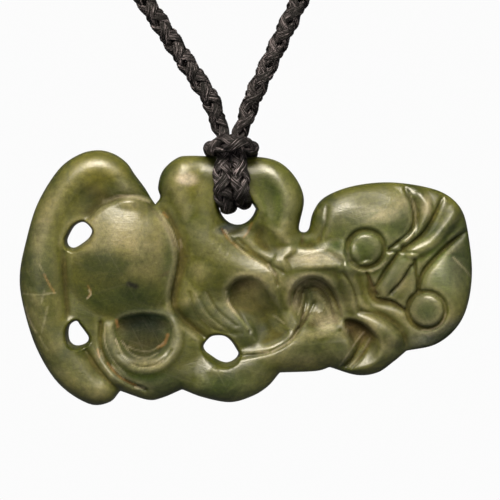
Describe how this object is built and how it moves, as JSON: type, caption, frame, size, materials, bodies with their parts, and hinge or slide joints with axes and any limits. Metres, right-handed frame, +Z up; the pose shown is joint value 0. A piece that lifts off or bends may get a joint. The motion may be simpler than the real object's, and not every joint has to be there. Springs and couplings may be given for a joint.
{
  "type": "hei tiki pendant on a braided neck cord",
  "caption": "Carved green stone figure with pierced holes, hung sideways from a hitched braided neck cord that runs round the neck as a closed loop.",
  "frame": {"origin": "the nape, at the middle of the knot that closes the neck cord, where the worn cord hangs", "axes": "+Z up, -Y the way the wearer and the carved face look, +X towards the figure's head; the figure hangs in front of and below the origin"},
  "size_m": [0.149, 0.1316, 0.2152],
  "materials": {
    "nephrite": "polished, slightly translucent, cloudy olive green",
    "cord": "waxed four-strand braid, black"
  },
  "bodies": {
    "root": {"tiki": "nephrite", "hitch": "cord", "cord_left": "cord", "cord_right": "cord", "nape_knot": "cord"}
  },
  "joints": []
}
